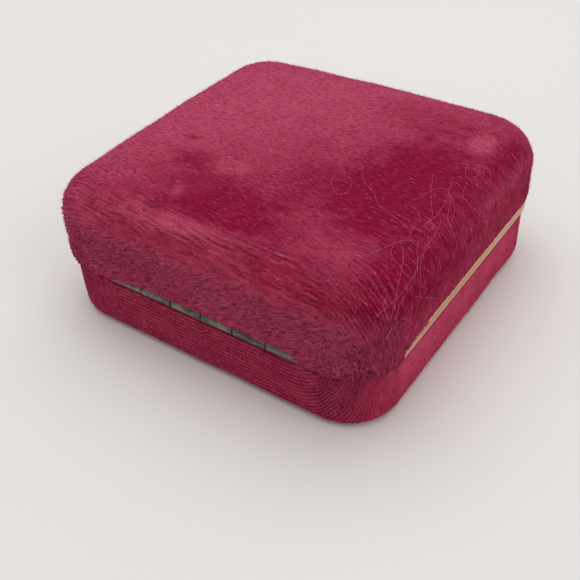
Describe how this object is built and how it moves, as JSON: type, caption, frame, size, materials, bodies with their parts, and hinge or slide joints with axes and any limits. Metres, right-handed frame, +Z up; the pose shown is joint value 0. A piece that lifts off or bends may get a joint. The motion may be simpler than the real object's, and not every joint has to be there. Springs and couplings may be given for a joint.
{
  "type": "ring box",
  "caption": "Small square velvet-covered ring box with rounded corners, a gilt metal frame on each half, a knuckle hinge along the back, and a slit ring pad inside",
  "frame": {"origin": "Middle of the flat underside, where the box rests", "axes": "+X runs along the hinge, -Y is the side that opens, +Z is up"},
  "size_m": [0.0636, 0.061, 0.026],
  "materials": {
    "velvet_lid": "long-pile plush velvet, brushed unevenly, deep rose red",
    "velvet_base": "flattened ribbed velvet, wine red",
    "velvet_pad": "short-pile velvet over foam",
    "under_cover": "thin matt leatherette sheet",
    "shell_steel": "bare pressed tinplate",
    "gilt": "worn pale gilt with dull patches",
    "hinge_steel": "dull grey plated steel, slightly tarnished",
    "spring_steel": "blue-grey spring steel strip",
    "lining_satin": "ivory satin",
    "board": "grey-brown card"
  },
  "bodies": {
    "base": {"base_velvet": "velvet_base", "base_bottom_cover": "under_cover", "base_shell": "shell_steel", "base_rim": "gilt", "base_hinge_leaf": "hinge_steel", "hinge_pin": "hinge_steel", "base_wall_lining": "lining_satin", "ring_pad_board": "board", "ring_pad_front": "velvet_pad", "ring_pad_rear": "velvet_pad", "snap_spring": "spring_steel"},
    "lid": {"lid_velvet": "velvet_lid", "lid_shell": "shell_steel", "lid_rim": "gilt", "lid_hinge_leaf": "hinge_steel", "lid_wall_lining": "lining_satin", "lid_lining_card": "board", "lid_lining_cushion": "lining_satin"}
  },
  "joints": [
    {"name": "lid_hinge", "type": "hinge", "parent": "base", "child": "lid", "pos_m": [-0.0012, 0.02937, 0.01125], "axis": [-1, 0, 0], "range_deg": [0, 100], "deforming": ["snap_spring"]}
  ]
}
